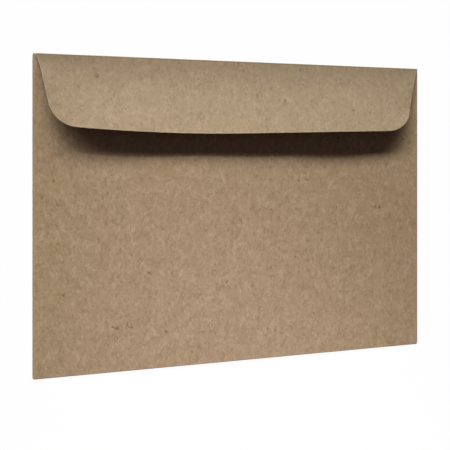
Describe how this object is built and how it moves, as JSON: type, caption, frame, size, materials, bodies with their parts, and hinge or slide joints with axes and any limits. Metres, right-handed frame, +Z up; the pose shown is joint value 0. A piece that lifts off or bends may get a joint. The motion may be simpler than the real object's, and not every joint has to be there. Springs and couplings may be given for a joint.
{
  "type": "paper envelope",
  "caption": "Flat paper envelope lying face down, its wide rounded closure flap folded over the back panel and standing a little open.",
  "frame": {"origin": "middle of the footprint, on the surface that the envelope lies on", "axes": "+X along the long side, +Y from the bottom fold to the closure flap's fold, +Z up, out of the back panel"},
  "size_m": [0.3048, 0.2286, 0.0085],
  "materials": {
    "paper": "matte"
  },
  "bodies": {
    "root": {"envelope": "paper"}
  },
  "joints": []
}
